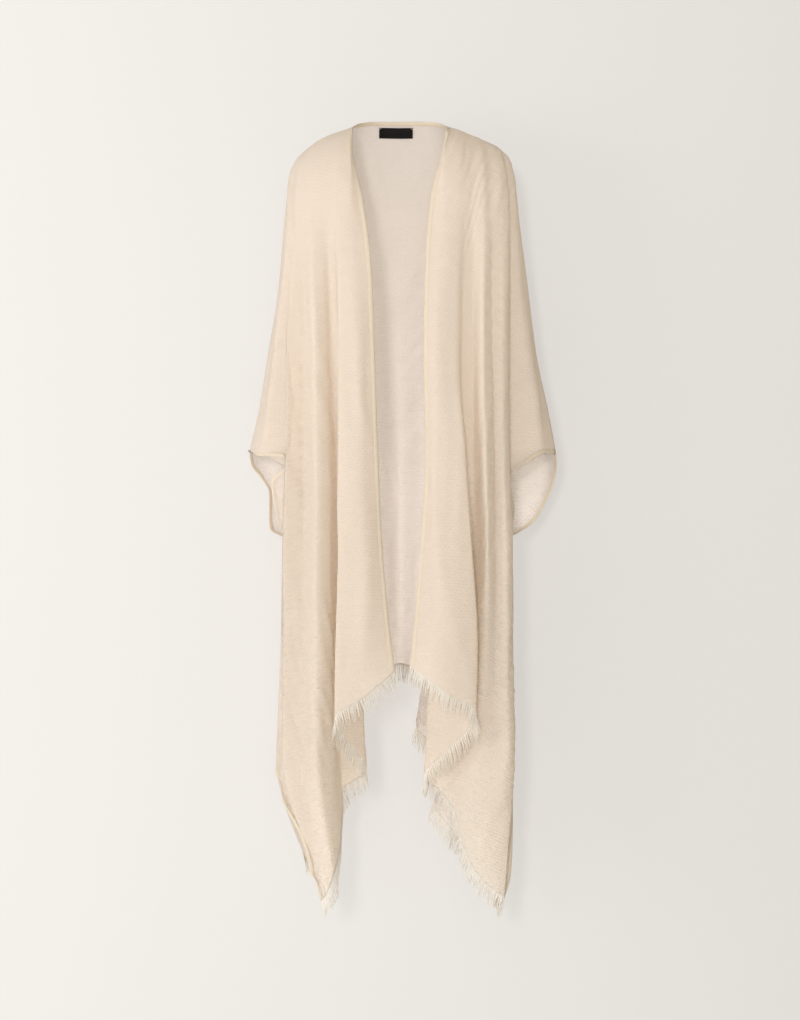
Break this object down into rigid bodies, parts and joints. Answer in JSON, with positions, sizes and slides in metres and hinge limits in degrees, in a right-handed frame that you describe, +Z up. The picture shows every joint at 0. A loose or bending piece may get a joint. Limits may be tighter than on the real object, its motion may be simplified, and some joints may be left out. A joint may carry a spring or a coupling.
{
  "type": "kaftan",
  "caption": "open-front kaftan in cream crinkled gauze, wide batwing sleeves with open cuffs, side slits and a frayed handkerchief hem, hanging as worn",
  "frame": {"origin": "middle of the neck opening at shoulder height, where the wearer's neck and shoulders carry the garment", "axes": "+Z up along the wearer, the open front faces -Y, +X is the wearer's left"},
  "size_m": [0.5673, 0.2816, 1.464],
  "materials": {
    "gauze": "crinkled cream gauze, slightly sheer, soft low sheen",
    "band": "narrow turned edge of the same gauze, darker where it is double",
    "fringe": "loose cream warp threads",
    "label": "smooth black woven tape, blank"
  },
  "bodies": {
    "root": {"back": "gauze", "front_right": "gauze", "front_left": "gauze", "neck_band": "band", "front_band_right": "band", "front_band_left": "band", "fringe_front_right": "fringe", "fringe_front_left": "fringe", "fringe_back": "fringe", "label": "label"}
  },
  "joints": []
}
